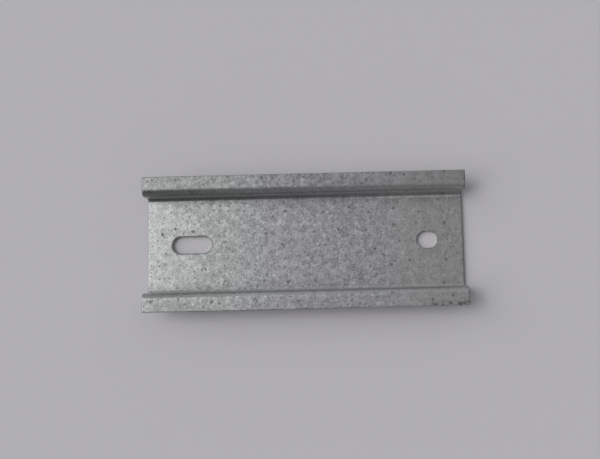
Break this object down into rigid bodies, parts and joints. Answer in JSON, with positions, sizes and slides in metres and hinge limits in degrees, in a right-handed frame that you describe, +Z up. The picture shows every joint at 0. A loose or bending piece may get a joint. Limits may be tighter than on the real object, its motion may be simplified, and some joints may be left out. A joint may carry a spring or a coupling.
{
  "type": "din rail",
  "caption": "Short length of galvanised steel top-hat rail, punched for screws, that electrical devices clip onto inside an enclosure.",
  "frame": {"origin": "middle of the underside of the web, in the plane that the rail rests on", "axes": "+Z up, out of the open channel; Y along the rail, with the long screw slot towards -Y and the short screw hole towards +Y; X across the two lips"},
  "size_m": [0.035, 0.084, 0.0075],
  "materials": {
    "galvanised_steel": "bright zinc with a fine grey spangle, slightly dulled and speckled"
  },
  "bodies": {
    "root": {"rail": "galvanised_steel"}
  },
  "joints": []
}
